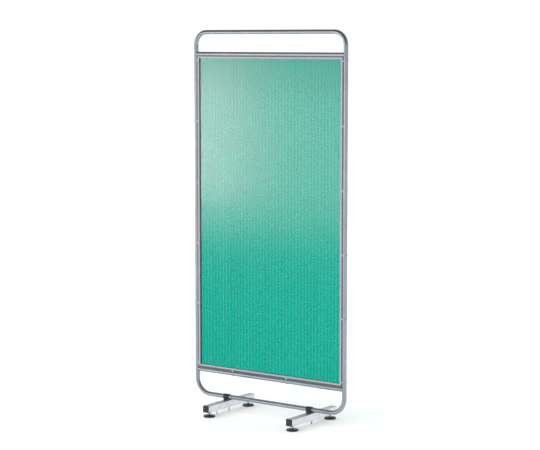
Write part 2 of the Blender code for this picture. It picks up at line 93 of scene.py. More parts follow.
class Shade:
    """A material under construction: one Principled shader and the nodes that feed it."""

    def __init__(self, name, colour, rough, metal=0.0):
        self.material = bpy.data.materials.new(name)
        self.material.use_nodes = True
        self.tree = self.material.node_tree
        self.shader = self.tree.nodes["Principled BSDF"]
        self.put("Base Color", (*colour, 1.0))
        self.put("Roughness", rough)
        self.put("Metallic", metal)

    def put(self, socket, value):
        self.shader.inputs[socket].default_value = value

    def link(self, source, target):
        self.tree.links.new(source, target)

    def node(self, kind, **settings):
        made = self.tree.nodes.new("ShaderNode" + kind)
        for key, value in settings.items():
            setattr(made, key, value)
        return made

    def place(self, scale=(1, 1, 1)):
        """Object coordinates, stretched."""
        source = self.node("TexCoord")
        mapping = self.node("Mapping")
        mapping.inputs["Scale"].default_value = scale
        self.link(source.outputs["Object"], mapping.inputs["Vector"])
        return mapping.outputs["Vector"]

    def noise(self, size, detail=3.0, stretch=(1, 1, 1), rough=0.5):
        """Noise whose features are about size metres across."""
        made = self.node("TexNoise")
        made.inputs["Scale"].default_value = 1.0 / size
        made.inputs["Detail"].default_value = detail
        made.inputs["Roughness"].default_value = rough
        self.link(self.place(stretch), made.inputs["Vector"])
        return made.outputs["Fac"]

    def wave(self, pitch):
        """Upright waves, pitch metres apart across the piece."""
        made = self.node("TexWave")
        made.inputs["Scale"].default_value = math.pi / (10 * pitch)
        self.link(self.place((1, 1, 1)), made.inputs["Vector"])
        return made.outputs["Fac"]

    def remap(self, source, low, high, start=0.3, stop=0.7):
        """A value moved from start..stop to low..high."""
        made = self.node("MapRange")
        for socket, value in (("From Min", start), ("From Max", stop), ("To Min", low), ("To Max", high)):
            made.inputs[socket].default_value = value
        self.link(source, made.inputs["Value"])
        return made.outputs["Result"]

    def blend(self, fac, first, second):
        """Two colours mixed by a value."""
        made = self.node("Mix", data_type="RGBA")
        for socket, value in ((6, first), (7, second)):
            if isinstance(value, tuple):
                made.inputs[socket].default_value = (*value, 1.0)
            else:
                self.link(value, made.inputs[socket])
        self.link(fac, made.inputs[0])
        return made.outputs[2]

    def bump(self, height, strength, distance):
        """Relief on the shader's normal."""
        made = self.node("Bump")
        made.inputs["Strength"].default_value = strength
        made.inputs["Distance"].default_value = distance
        self.link(height, made.inputs["Height"])
        if self.shader.inputs["Normal"].links:
            self.link(self.shader.inputs["Normal"].links[0].from_socket, made.inputs["Normal"])
        self.link(made.outputs["Normal"], self.shader.inputs["Normal"])

    def drive(self, socket, source):
        self.link(source, self.shader.inputs[socket])


# ------------------------------------------------------------ materials


def tube_metal():
    """Satin plated tube: bluish silver, a cloudy tone, a fine grain and small scuffs."""
    shade = Shade("tube_metal", (0.32, 0.35, 0.39), 0.3, 1.0)
    cloudy = shade.noise(0.09, 4.0)
    tint = shade.blend(shade.remap(cloudy, 0.0, 1.0), (0.285, 0.315, 0.355), (0.34, 0.365, 0.40))
    shade.drive("Base Color", tint)
    scuff = shade.noise(0.012, 6.0, rough=0.7)
    shade.drive("Roughness", shade.remap(scuff, 0.25, 0.36, 0.35, 0.75))
    shade.bump(shade.noise(0.0016, 2.0), 0.04, 0.0003)
    return shade.material


def foot_metal():
    """Mill-finish square tube with fine lines along its length and slanting handling marks."""
    shade = Shade("foot_metal", (0.6, 0.6, 0.65), 0.34, 1.0)
    broad = shade.noise(0.03, 3.0, stretch=(1.0, 0.55, 1.6), rough=0.6)
    tint = shade.blend(shade.remap(broad, 0.0, 1.0), (0.66, 0.67, 0.72), (0.84, 0.84, 0.88))
    shade.drive("Base Color", tint)
    shade.drive("Roughness", shade.remap(broad, 0.24, 0.42))
    shade.bump(shade.noise(0.0012, 3.0, stretch=(1, 0.02, 1)), 0.10, 0.0002)
    return shade.material


def edge_bar():
    """Pale, slightly pink satin moulding with a fine extruded grain."""
    shade = Shade("edge_bar", (0.44, 0.36, 0.40), 0.42)
    grain = shade.noise(0.02, 4.0)
    tint = shade.blend(shade.remap(grain, 0.0, 1.0), (0.40, 0.335, 0.37), (0.47, 0.395, 0.43))
    shade.drive("Base Color", tint)
    shade.drive("Roughness", shade.remap(shade.noise(0.004, 3.0), 0.36, 0.5))
    shade.bump(shade.noise(0.0012, 2.0), 0.06, 0.0002)
    return shade.material


def dark_rubber():
    """Dull blue-grey seal; its dark colour also stands in for the shade in the gap between the edge bars and
    the tubes.
    """
    shade = Shade("dark_rubber", (0.08, 0.12, 0.14), 0.62)
    dust = shade.remap(shade.noise(0.01, 5.0, rough=0.65), 0.0, 1.0, 0.4, 0.7)
    shade.drive("Base Color", shade.blend(dust, (0.065, 0.10, 0.12), (0.11, 0.15, 0.17)))
    shade.drive("Roughness", shade.remap(dust, 0.55, 0.75, 0.0, 1.0))
    shade.bump(shade.noise(0.0008, 2.0), 0.15, 0.0002)
    return shade.material


def black_plastic():
    """Moulded black plastic with a fine spark grain and dusty highs."""
    shade = Shade("black_plastic", (0.014, 0.018, 0.022), 0.42)
    dust = shade.remap(shade.noise(0.006, 5.0, rough=0.7), 0.0, 1.0, 0.5, 0.8)
    shade.drive("Base Color", shade.blend(dust, (0.010, 0.014, 0.018), (0.028, 0.034, 0.04)))
    shade.drive("Roughness", shade.remap(dust, 0.34, 0.55, 0.0, 1.0))
    shade.bump(shade.noise(0.0007, 2.0), 0.22, 0.00015)
    return shade.material


def pad_plastic():
    """Pads: black, a little glossier, dusty near the floor."""
    shade = Shade("pad_plastic", (0.014, 0.015, 0.017), 0.28)
    dust = shade.noise(0.005, 5.0, rough=0.7)
    split = shade.node("SeparateXYZ")
    shade.link(shade.place(), split.inputs[0])
    dirt = shade.node("Math", operation="MULTIPLY")
    shade.link(shade.remap(split.outputs["Z"], 0.75, 0.0, 0.0, 0.004), dirt.inputs[0])
    shade.link(shade.remap(dust, 0.3, 1.0), dirt.inputs[1])
    shade.drive("Base Color", shade.blend(dirt.outputs[0], (0.010, 0.012, 0.014), (0.07, 0.068, 0.066)))
    shade.drive("Roughness", shade.remap(dust, 0.2, 0.4))
    shade.bump(shade.noise(0.0008, 2.0), 0.12, 0.00015)
    return shade.material


def zinc():
    """Zinc plate: cool, softly mottled."""
    shade = Shade("zinc", (0.5, 0.57, 0.6), 0.28, 1.0)
    spangle = shade.remap(shade.noise(0.0035, 3.0), 0.0, 1.0)
    shade.drive("Base Color", shade.blend(spangle, (0.42, 0.49, 0.52), (0.60, 0.66, 0.68)))
    shade.drive("Roughness", shade.remap(shade.noise(0.002, 4.0), 0.2, 0.4))
    shade.bump(shade.noise(0.0009, 2.0), 0.08, 0.0001)
    return shade.material


def painted_shade_steel():
    """Near-black steel of the bolt tips: painted shade for the shadow at the bolt's end, softly mottled."""
    shade = Shade("painted_shade_steel", (0.06, 0.065, 0.07), 0.38, 0.9)
    stain = shade.remap(shade.noise(0.003, 4.0), 0.0, 1.0)
    shade.drive("Base Color", shade.blend(stain, (0.035, 0.04, 0.045), (0.09, 0.09, 0.09)))
    shade.drive("Roughness", shade.remap(stain, 0.3, 0.5, 0.0, 1.0))
    return shade.material


STRIPE_PITCH = 0.019
SHEET_INDEX = 1.12              # lower than a real plastic's, so the room's reflection stays faint


def green_sheet():
    """Clear green plastic with faint upright stripes, the ribbing shown partly as painted sheen in the
    colour; lamps shine through it with a green tint.
    """
    shade = Shade("green_sheet", (0.11, 0.60, 0.52), 0.15)
    drift = shade.remap(shade.noise(0.05, 3.0, stretch=(1.0, 1.0, 0.08)), 0.0, 1.0)
    deep = shade.blend(drift, (0.03, 0.578, 0.498), (0.04, 0.588, 0.508))
    # pale bands: painted sheen, their extra red standing for the reflection the ribs catch
    pale = shade.blend(drift, (0.16, 0.612, 0.530), (0.18, 0.622, 0.540))
    shade.drive("Base Color", shade.blend(shade.wave(STRIPE_PITCH), deep, pale))
    shade.put("Transmission Weight", 1.0)
    shade.put("IOR", SHEET_INDEX)
    clear = shade.node("BsdfTransparent")
    clear.inputs["Color"].default_value = (0.35, 0.86, 0.76, 1.0)
    path = shade.node("LightPath")
    mix = shade.node("MixShader")
    shade.link(path.outputs["Is Shadow Ray"], mix.inputs[0])
    shade.link(shade.shader.outputs[0], mix.inputs[1])
    shade.link(clear.outputs[0], mix.inputs[2])
    shade.link(mix.outputs[0], shade.tree.nodes["Material Output"].inputs["Surface"])
    return shade.material


MATERIALS = {
    "tube_metal": tube_metal(),
    "foot_metal": foot_metal(),
    "edge_bar": edge_bar(),
    "dark_rubber": dark_rubber(),
    "black_plastic": black_plastic(),
    "zinc": zinc(),
    "green_sheet": green_sheet(),
}
PAD_PLASTIC = pad_plastic()
PAINTED_SHADE_STEEL = painted_shade_steel()

# ------------------------------------------------------------ mesh tools


def add_piece(name, bm, material, body=ROOT, replaces=(), place=(0, 0, 0), sharp=35):
    """Make a bmesh an object that rides on a body."""
    bmesh.ops.recalc_face_normals(bm, faces=bm.faces)
    mesh = bpy.data.meshes.new(name)
    bm.to_mesh(mesh)
    bm.free()
    mesh.shade_smooth()
    mesh.set_sharp_from_angle(angle=math.radians(sharp))
    mesh.materials.append(material)
    thing = bpy.data.objects.new(name, mesh)
    thing.location = place
    bpy.context.collection.objects.link(thing)
    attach(thing, body)
    if replaces:
        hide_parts(*replaces)
    return thing


def add_bevel(thing, width, segments=3, angle=30):
    """Round an object's edges."""
    bevel = thing.modifiers.new("edge", "BEVEL")
    bevel.width = width
    bevel.segments = segments
    bevel.limit_method = "ANGLE"
    bevel.angle_limit = math.radians(angle)
    bevel.harden_normals = True
    return thing


def add_loft(bm, rings, closed=False, caps=True):
    """Join rings of points in order; closed joins the last ring to the first."""
    loops = [[bm.verts.new(point) for point in ring] for ring in rings]
    pairs = list(zip(loops, loops[1:]))
    if closed:
        pairs.append((loops[-1], loops[0]))
    for low, high in pairs:
        count = len(low)
        for i in range(count):
            j = (i + 1) % count
            bm.faces.new((low[i], low[j], high[j], high[i]))
    if not closed and caps:
        bm.faces.new(loops[0])
        bm.faces.new(loops[-1])


def circle(radius, z, sides, hexagon=False, turn=0.0):
    """Points round the Z axis; a hexagon has flats 2 * radius apart, its edges rounded by radius."""
    points = []
    for i in range(sides):
        angle = math.tau * i / sides
        reach = radius
        if hexagon:
            off_flat = angle % (math.pi / 3) - math.pi / 6
            reach = radius / math.cos(off_flat)
        points.append(Vector((reach * math.cos(angle + turn), reach * math.sin(angle + turn), z)))
    return points


def add_turned(bm, profile, sides, closed=False, frame_to=None):
    """A turned shape from (radius, height) or (flat, height, 'hex') steps."""
    rings = [circle(step[0], step[1], sides, len(step) > 2) for step in profile]
    if frame_to is not None:
        rings = [[frame_to @ point for point in ring] for ring in rings]
    add_loft(bm, rings, closed)


def rounded(corners, radius, steps=5):
    """A closed outline of (a, b) points with each convex corner rounded by an arc."""
    outline = []
    count = len(corners)
    for i, corner in enumerate(corners):
        here = Vector(corner)
        back = (Vector(corners[i - 1]) - here)
        ahead = (Vector(corners[(i + 1) % count]) - here)
        cut = min(radius, back.length * 0.45, ahead.length * 0.45)
        start = here + back.normalized() * cut
        stop = here + ahead.normalized() * cut
        for k in range(steps + 1):
            t = k / steps
            outline.append(start * (1 - t) ** 2 + here * 2 * t * (1 - t) + stop * t ** 2)
    return outline


# ------------------------------------------------------------ tube loop


def swept_rings(path, radius, sides):
    """Rings round a path in the XZ plane."""
    rings = []
    through = Vector((0, 1, 0))
    for i, point in enumerate(path):
        before, after = path[max(i - 1, 0)], path[min(i + 1, len(path) - 1)]
        along = (after - before).normalized()
        across = along.cross(through)
        rings.append([point + (across * math.cos(a) + through * math.sin(a)) * radius
                      for a in (math.tau * k / sides for k in range(sides))])
    return rings


def bent_path(run_z, bend, end_z, steps=28):
    """Centre line of one half of the loop, from post to post."""
    side = 1 if run_z > end_z else -1
    path = [Vector((-POST_X, SCREEN_Y, end_z))]
    for centre_x, start in ((-POST_X + bend, math.pi), (POST_X - bend, math.pi / 2)):
        for i in range(steps + 1):
            angle = start - math.pi / 2 * i / steps
            up = side * bend * math.sin(angle)
            path.append(Vector((centre_x + bend * math.cos(angle), SCREEN_Y, run_z - side * bend + up)))
    path.append(Vector((POST_X, SCREEN_Y, end_z)))
    return path


def make_loop():
    """The two bent halves, with a fine rounded seam where they meet in the posts."""
    halves = (
        ("loop_upper", "frame_tube_upper", TOP_Z, TOP_BEND, SEAM_HIGH, 1),
        ("loop_lower", "frame_tube_lower", BASE_Z, BASE_BEND, SEAM_LOW, -1),
    )
    ease = 0.0006
    for name, node, run_z, bend, end_z, away in halves:
        bm = bmesh.new()
        path = bent_path(run_z, bend, end_z)
        inner_path = [p.copy() for p in path]
        shoulder = [p.copy() for p in path]
        for p in (shoulder[0], shoulder[-1]):
            p.z += away * ease
        inward = Vector((0, 0, away * 0.002))
        shoulder.insert(1, shoulder[0] + inward)
        shoulder.insert(-1, shoulder[-1] + inward)
        lip = swept_rings([path[0], shoulder[0]], TUBE_R - ease * 0.6, 56)[0]
        lip_end = swept_rings([shoulder[-1], path[-1]], TUBE_R - ease * 0.6, 56)[-1]
        outside = [lip] + swept_rings(shoulder, TUBE_R, 56) + [lip_end]
        inside = swept_rings(inner_path, TUBE_R - TUBE_WALL, 56)
        add_loft(bm, outside + inside[::-1], closed=True)
        add_piece(name, bm, MATERIALS["tube_metal"], replaces=[node])


def rail_end(side, z, reach, count):
    """The curve where a rail of a given radius meets a post, as points round the rail."""
    points = []
    for k in range(count):
        angle = math.tau * k / count
        across, up = reach * math.cos(angle), reach * math.sin(angle)
        inset = math.sqrt(max((TUBE_R + 0.0002) ** 2 - across ** 2, 0.0))
        points.append(Vector((side * (POST_X - inset), SCREEN_Y + across, z + up)))
    return points


def weld_rings(side, z, seed):
    """A rippled fillet of weld along the joint of a rail and a post."""
    dice = random.Random(seed)
    count = 180
    seam = rail_end(side, z, TUBE_R * 0.985, count)
    rings = []
    for k, point in enumerate(seam):
        angle = math.tau * k / count
        outward = Vector((0, math.cos(angle), math.sin(angle)))
        inward = Vector((-side, 0, 0))
        ripple = 1 + 0.13 * math.sin(angle * 24 + 0.6 * math.sin(angle * 5)) + dice.uniform(-0.03, 0.03)
        size = 0.0021 * ripple
        ring = []
        for j in range(10):
            turn = math.tau * j / 10
            ring.append(point + (outward * math.cos(turn) + inward * math.sin(turn)) * size)
        rings.append(ring)
    return rings


def make_rails():
    """The cross rails, cut to the posts, with a weld fillet at each end."""
    for number, (name, node) in enumerate((("rail_top", "top_rail"), ("rail_bottom", "bottom_rail"))):
        z = middle(node).z
        bm = bmesh.new()
        outer = [rail_end(side, z, TUBE_R * 0.9999, 56) for side in (-1, 1)]
        inner = [rail_end(side, z, TUBE_R - TUBE_WALL, 56) for side in (1, -1)]
        add_loft(bm, outer + inner, closed=True)
        add_piece(name, bm, MATERIALS["tube_metal"], replaces=[node])
        for side, word in ((-1, "left"), (1, "right")):
            bm = bmesh.new()
            add_loft(bm, weld_rings(side, z, 7 * number + side), closed=True)
            add_piece("weld_%s_%s" % (name, word), bm, MATERIALS["tube_metal"], sharp=80)


# ------------------------------------------------------------ edge frame, seals and sheet


def mitred(bm, outline, half_length):
    """A bar along X with 45 degree ends from (inward, through) points."""
    rings = []
    for end in (-1, 1):
        rings.append([Vector((end * (half_length - 0.0003 - p[0]), p[1], p[0])) for p in outline])
    add_loft(bm, rings)


def frame_sides():
    """For each side: its name, half length and placing matrix; local +Z points inward."""
    half_height = (FRAME_HIGH - FRAME_LOW) / 2
    mid = (FRAME_HIGH + FRAME_LOW) / 2
    return (
        ("bottom", FRAME_X, Matrix.Translation((0, SCREEN_Y, FRAME_LOW))),
        ("top", FRAME_X, Matrix.Translation((0, SCREEN_Y, FRAME_HIGH)) @ Matrix.Rotation(math.pi, 4, "Y")),
        ("left", half_height,
         Matrix.Translation((-FRAME_X, SCREEN_Y, mid)) @ Matrix.Rotation(math.pi / 2, 4, "Y")),
        ("right", half_height,
         Matrix.Translation((FRAME_X, SCREEN_Y, mid)) @ Matrix.Rotation(-math.pi / 2, 4, "Y")),
    )


def bar_outline():
    """Section of an edge bar with eased edges and its groove."""
    groove = 0.0023
    floor = BAR_FACE - 0.0055
    corners = [(0, -BAR_DEEP), (BAR_FACE, -BAR_DEEP), (BAR_FACE, -groove), (floor, -groove),
               (floor, groove), (BAR_FACE, groove), (BAR_FACE, BAR_DEEP), (0, BAR_DEEP)]
    return rounded(corners, 0.0011, 4)


def make_edge_frame():
    """Edge bars with rounded corners in place of the plain ones."""
    for side, half_length, placing in frame_sides():
        bm = bmesh.new()
        mitred(bm, bar_outline(), half_length)
        bm.transform(placing)
        add_piece("edge_bar_" + side, bm, MATERIALS["edge_bar"],
                  replaces=["panel_frame_" + side])


def screw_places():
    """For each screw node: a matrix whose origin is on the tube's skin and whose +Z points out of it."""
    places = {}
    for node in frame["nodes"]:
        at = middle(node)
        if node.startswith("rail_screw"):
            low = span(node, 2)[0]
            turn = Matrix.Rotation(math.pi, 4, "X")
            places[node] = Matrix.Translation((at.x, SCREEN_Y, low + SCREW_HEAD)) @ turn
        elif node.startswith("post_screw"):
            sign = 1 if at.x > 0 else -1
            out = sign * (POST_X + TUBE_R + 0.0003)
            turn = Matrix.Rotation(sign * math.pi / 2, 4, "Y")
            places[node] = Matrix.Translation((out, SCREEN_Y, at.z)) @ turn
    return places


SCREW_HEAD = 0.0026
SCREW_R = 0.0021


def make_screws():
    """Pan head screws with a cross recess and a plain shank."""
    for node, placing in screw_places().items():
        low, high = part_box(node)
        length = max((Vector(high) - Vector(low))) - SCREW_HEAD
        bm = bmesh.new()
        head = 0.0042
        profile = [(0.0003, SCREW_HEAD * 0.55), (0.0008, SCREW_HEAD * 0.8), (0.0016, SCREW_HEAD * 0.98),
                   (head * 0.55, SCREW_HEAD), (head * 0.8, SCREW_HEAD * 0.86),
                   (head * 0.95, SCREW_HEAD * 0.6),
                   (head, SCREW_HEAD * 0.3), (head, 0.0003), (head - 0.0003, 0.0), (SCREW_R, 0.0),
                   (SCREW_R, 0.001 - length), (SCREW_R * 0.5, -length)]
        add_turned(bm, profile, 40)
        cross_recess(bm, SCREW_HEAD)
        bm.transform(placing)
        add_piece(node + "_detail", bm, MATERIALS["zinc"], replaces=[node])


def cross_recess(bm, top):
    """Press a cross into the crown by drawing in the points that lie along its two arms."""
    for vert in bm.verts:
        reach = math.hypot(vert.co.x, vert.co.y)
        if vert.co.z > top * 0.5 and 0.0005 < reach < 0.0026:
            arm = min(abs(vert.co.x), abs(vert.co.y))
            if arm < 0.0005:
                vert.co.z -= top * 0.42 * (1 - reach / 0.0032)


def make_spacers():
    """A bright disc round each screw between the edge bar and the tube, hollowed to sit on the tube."""
    radius = 0.0082
    for node in frame["nodes"]:
        if not node.startswith(("post_screw", "rail_screw")):
            continue
        at = middle(node)
        if node.startswith("rail_screw"):
            gap = FRAME_LOW - span("bottom_rail", 2)[1]
            placing = Matrix.Translation((at.x, SCREEN_Y, FRAME_LOW)) @ Matrix.Rotation(math.pi, 4, "X")
            placing = placing @ Matrix.Rotation(math.pi / 2, 4, "Z")
        else:
            sign = 1 if at.x > 0 else -1
            gap = POST_X - TUBE_R - FRAME_X
            turn = Matrix.Rotation(sign * math.pi / 2, 4, "Y")
            placing = Matrix.Translation((sign * FRAME_X, SCREEN_Y, at.z)) @ turn
        bm = bmesh.new()
        turns = [math.tau * k / 48 for k in range(48)]
        rings = [[Vector((math.cos(a) * r, math.sin(a) * r, z)) for a in turns]
                 for r, z in ((radius - 0.0005, 0.0001), (radius, 0.0006))]
        for r, lift in ((radius, 0.0006), (radius - 0.0005, 0.0002)):
            ring = []
            for k in range(48):
                angle = math.tau * k / 48
                across = r * math.sin(angle)
                rise = gap + TUBE_R - math.sqrt(TUBE_R ** 2 - across ** 2)
                ring.append(Vector((r * math.cos(angle), across, rise - lift)))
            rings.append(ring)
        add_loft(bm, rings)
        bm.transform(placing)
        add_piece("spacer_" + node, bm, MATERIALS["zinc"])


def threaded_rings(radius, depth, pitch, low, high, sides=32, per_turn=8):
    """Rings of a screw thread along Z that fade out at both ends."""
    count = int((high - low) / pitch * per_turn)
    rings = []
    for i in range(count + 1):
        z = low + (high - low) * i / count
        fade = min(1.0, (z - low) / pitch, (high - z) / pitch)
        ring = []
        for k in range(sides):
            angle = math.tau * k / sides
            turn = (z / pitch - k / sides) % 1.0
            cut = depth * fade * min(1.0, 2.4 * abs(turn - 0.5))
            ring.append(Vector(((radius - cut) * math.cos(angle), (radius - cut) * math.sin(angle), z)))
        rings.append(ring)
    return rings


def capped_hexagon(flat, cap, z, sides):
    """A hexagon whose corners don't reach past cap."""
    points = []
    for i in range(sides):
        angle = math.tau * i / sides
        reach = min(flat / math.cos(angle % (math.pi / 3) - math.pi / 6), cap)
        points.append(Vector((reach * math.cos(angle), reach * math.sin(angle), z)))
    return points


def disc_rings(steps, sides):
    """Rings for plain (radius, height) steps."""
    return [circle(radius, z, sides) for radius, z in steps]


def make_levellers():
    """Pads, threaded studs and the black collars that the studs turn in."""
    for side in SIDES:
        for end in ENDS:
            tag = "_%s_%s" % (side, end)
            at = middle("level_pad" + tag)
            place = (at.x, at.y, 0)
            make_pad(tag, place)
            make_stud(tag, place)
            make_collar(tag, place)


def make_pad(tag, place):
    """A domed round pad with a rounded rim, a raised boss and a ball socket."""
    bm = bmesh.new()
    steps = [(0.0274, 0.0), (0.0283, 0.0003), (0.0288, 0.0011), (0.0288, 0.0055), (0.0284, 0.0067),
             (0.0274, 0.0077), (0.0258, 0.0082), (0.0200, 0.0086), (0.0150, 0.0091), (0.0118, 0.0096),
             (0.0098, 0.0104), (0.0089, 0.0111), (0.0083, 0.0114), (0.0074, 0.0115), (0.0056, 0.0113),
             (0.0051, 0.0109), (0.0051, 0.0070)]
    add_loft(bm, disc_rings(steps, 72))
    for vert in bm.verts:
        if 0.0009 < vert.co.z < 0.0060 and math.hypot(vert.co.x, vert.co.y) > 0.0275:
            lobe = math.cos(24 * math.atan2(vert.co.y, vert.co.x))
            vert.co.x *= 1 - 0.006 * (1 - lobe)
            vert.co.y *= 1 - 0.006 * (1 - lobe)
    add_piece("pad" + tag, bm, PAD_PLASTIC, body="pad" + tag,
              replaces=["level_pad" + tag], place=place)


def make_stud(tag, place):
    """A stud: ball, hexagon for a spanner, a short cone and an M8 thread."""
    sides = 36
    bm = bmesh.new()
    rings = disc_rings([(0.0020, 0.0074), (0.0038, 0.0077), (0.0047, 0.0088), (0.0047, 0.0104),
                        (0.0040, 0.0116)], sides)
    rings += [capped_hexagon(0.0069, cap, z, sides) for cap, z in
              ((0.0069, 0.0118), (0.0079, 0.0121), (0.0079, 0.0133), (0.0069, 0.0136))]
    rings += disc_rings([(0.0062, 0.0138), (0.0052, 0.0156), (0.0047, 0.0170), (0.0042, 0.0173)], sides)
    rings += threaded_rings(0.0040, 0.0006, 0.00125, 0.0175, 0.0488, sides)
    rings += disc_rings([(0.0036, 0.0494), (0.0030, 0.0500)], sides)
    add_loft(bm, rings)
    add_piece("stud" + tag, bm, MATERIALS["zinc"], body="stud" + tag,
              replaces=["level_stud" + tag], place=place)


def make_collar(tag, place):
    """The threaded collar pressed into the foot from below."""
    top = FOOT_Z - 0.0003
    low = span("foot_insert" + tag, 2)[0]
    high = span("foot_insert" + tag, 2)[1]
    bm = bmesh.new()
    steps = [(0.0064, low), (0.0069, low + 0.0003), (0.0073, low + 0.0014), (0.0084, top - 0.0014),
             (0.0089, top - 0.0006), (0.0088, top - 0.0001), (0.0070, top), (0.0070, high - 0.0005),
             (0.0066, high), (0.0043, high), (0.0043, low + 0.0004), (0.0047, low)]
    add_loft(bm, disc_rings(steps, 48), closed=True)
    add_piece("collar" + tag, bm, MATERIALS["black_plastic"],
              replaces=["foot_insert" + tag], place=place)


def make_caps():
    """End caps with a rounded rim, a sunk face and three low ribs across it."""
    for side in SIDES:
        for end in ENDS:
            tag = "_%s_%s" % (side, end)
            node = "foot_cap" + tag
            sign = -1 if end == "front" else 1
            face = span(node, 1)[0 if sign < 0 else 1]
            centre = middle(node)
            seam = face - sign * 0.003
            half = FOOT_SIZE / 2
            plug = half - 0.0023
            steps = [(plug - 0.0010, seam - sign * 0.0140, 0.0008), (plug, seam - sign * 0.0120, 0.0012),
                     (plug, seam, 0.0012), (half, seam, 0.003), (half, face - sign * 0.0012, 0.003),
                     (half - 0.0003, face - sign * 0.0005, 0.003), (half - 0.0011, face, 0.0025),
                     (half - 0.0030, face, 0.002), (half - 0.0038, face - sign * 0.0007, 0.002)]
            bm = bmesh.new()
            add_loft(bm, [[Vector((x, y, z)) for x, z in rounded_square(size, corner)]
                          for size, y, corner in steps])
            for row in (-1, 0, 1):
                add_rib(bm, row * 0.0078, half - 0.0042, face, sign)
            add_piece("cap" + tag, bm, MATERIALS["black_plastic"],
                      replaces=[node], place=(centre.x, 0, FOOT_Z + half))


def add_rib(bm, x, half, face, sign):
    """A low upright rib on an end cap's sunk face."""
    outline = [(-0.0011, -0.0009), (-0.0006, -0.0002), (0.0006, -0.0002), (0.0011, -0.0009)]
    rings = [[Vector((x + a, face + sign * b, z)) for a, b in outline] for z in (-half, half)]
    add_loft(bm, rings)


def rounded_square(half, corner, steps=6):
    """(x, z) points of a square with arcs at its corners."""
    points = []
    for quarter in range(4):
        start = math.pi / 2 * quarter
        cx = (half - corner) * (1 if quarter in (0, 3) else -1)
        cz = (half - corner) * (1 if quarter in (0, 1) else -1)
        for i in range(steps + 1):
            angle = start + math.pi / 2 * i / steps
            points.append((cx + corner * math.cos(angle), cz + corner * math.sin(angle)))
    return points


def make_clamp_hardware():
    """Button head bolt with a socket, washer and chamfered nut under each clamp, and the bolt's tip coloured
    near-black as painted shade.
    """
    for side in SIDES:
        bolt, nut, washer = "clamp_bolt_" + side, "clamp_nut_" + side, "clamp_washer_" + side
        at = middle(bolt)
        place = (at.x, at.y, 0)
        low, high = span(bolt, 2)
        head = high - 0.0032
        bm = bmesh.new()
        sides = 36
        rings = [capped_hexagon(0.0019, 0.0022, z, sides) for z in (high - 0.0021, high - 0.0003)]
        rings += disc_rings([(0.0026, high - 0.0001), (0.0034, high - 0.0002), (0.0044, high - 0.0008),
                             (0.0050, high - 0.0017), (0.00525, head + 0.0006), (0.0051, head),
                             (0.0030, head), (0.0030, FOOT_Z)], sides)
        add_loft(bm, rings)
        add_piece("bolt_" + side, bm, MATERIALS["zinc"], replaces=[bolt], place=place)

        bm = bmesh.new()
        cut = low + 0.0046
        rings = disc_rings([(0.0028, FOOT_Z - 0.0001)], sides)
        rings += threaded_rings(0.0030, 0.00045, 0.0010, cut, FOOT_Z - 0.0003, sides)[::-1]
        add_loft(bm, rings)
        add_piece("bolt_thread_" + side, bm, MATERIALS["zinc"], place=place)
        bm = bmesh.new()
        rings = threaded_rings(0.0030, 0.00045, 0.0010, low + 0.0012, cut - 0.0001, sides)[::-1]
        rings += disc_rings([(0.0026, low + 0.0008), (0.0021, low)], sides)
        add_loft(bm, rings)
        # painted shade: the last turns of thread are near-black to stand for the shadow at the bolt's end
        add_piece("bolt_tip_" + side, bm, PAINTED_SHADE_STEEL, place=place)

        low, high = span(nut, 2)
        bm = bmesh.new()
        rings = [capped_hexagon(0.0050, cap, z, 72) for cap, z in
                 ((0.0050, low), (0.0058, low + 0.0006), (0.0058, high - 0.0006), (0.0050, high))]
        rings += disc_rings([(0.0034, high), (0.0031, high - 0.0004), (0.0031, low + 0.0004),
                             (0.0034, low)], 72)
        add_loft(bm, rings, closed=True)
        add_piece("nut_" + side, bm, MATERIALS["zinc"], replaces=[nut], place=place)

        low, high = span(washer, 2)
        bm = bmesh.new()
        add_loft(bm, disc_rings([(0.0078, low), (0.0080, low + 0.0002), (0.0080, high - 0.0002),
                                 (0.0078, high), (0.0034, high), (0.0033, low)], 64), closed=True)
        add_piece("washer_" + side, bm, MATERIALS["zinc"], replaces=[washer], place=place)


def make_pin():
    """The thin pin under the left foot, with a rounded wider end."""
    node = "foot_pin_left"
    at = middle(node)
    low, high = span(node, 2)
    bm = bmesh.new()
    add_loft(bm, disc_rings([(0.0022, low), (0.0033, low + 0.0004), (0.0038, low + 0.0013),
                             (0.0038, low + 0.0056), (0.0035, low + 0.0064), (0.0025, low + 0.0070),
                             (0.0022, low + 0.0074), (0.0022, high)], 40))
    add_piece("pin_left", bm, MATERIALS["zinc"], replaces=[node], place=(at.x, at.y, 0))


def clamp_outline(offset_y, offset_z):
    """Side outline of a clamp block: base, ribbed shell over the tube, rear lug and slit."""
    outer = TUBE_R + 0.0029
    bore = TUBE_R + 0.0003
    low = FOOT_Z + FOOT_SIZE + 0.0003 - BASE_Z
    lug_top = low + 0.0085
    rear = -SCREEN_Y + 0.010
    slit_low = low + 0.00425 - 0.0006
    slit_high = slit_low + 0.0012
    lug_angle = math.asin(lug_top / outer)
    neck = 0.0100
    neck_angle = math.pi + math.acos(neck / outer)
    points = [(-neck, low)]
    steps = 96
    for i in range(steps + 1):
        angle = neck_angle + (lug_angle - neck_angle) * i / steps
        shell = outer - rib_depth(math.degrees(angle))
        points.append((shell * math.cos(angle), shell * math.sin(angle)))
    points += [(rear - 0.0006, lug_top), (rear, lug_top - 0.0006), (rear, slit_high)]
    start = math.asin(max(slit_high, -bore * 0.98) / bore)
    stop = math.asin(max(slit_low, -bore * 0.995) / bore) + math.tau
    for i in range(41):
        angle = start + (stop - start) * i / 40
        points.append((bore * math.cos(angle), bore * math.sin(angle)))
    points += [(rear, slit_low), (rear, low + 0.0005), (rear - 0.0005, low)]
    return [(y + offset_y, z + offset_z) for y, z in points]


def rib_depth(angle):
    """How far the shell is sunk between its ribs, by the angle round the tube."""
    if not 105 < angle < 225:
        return 0.0
    return 0.00055 * min(1.0, max(0.0, 3.2 * math.sin(math.radians((angle - 105) * 9)) - 0.8))


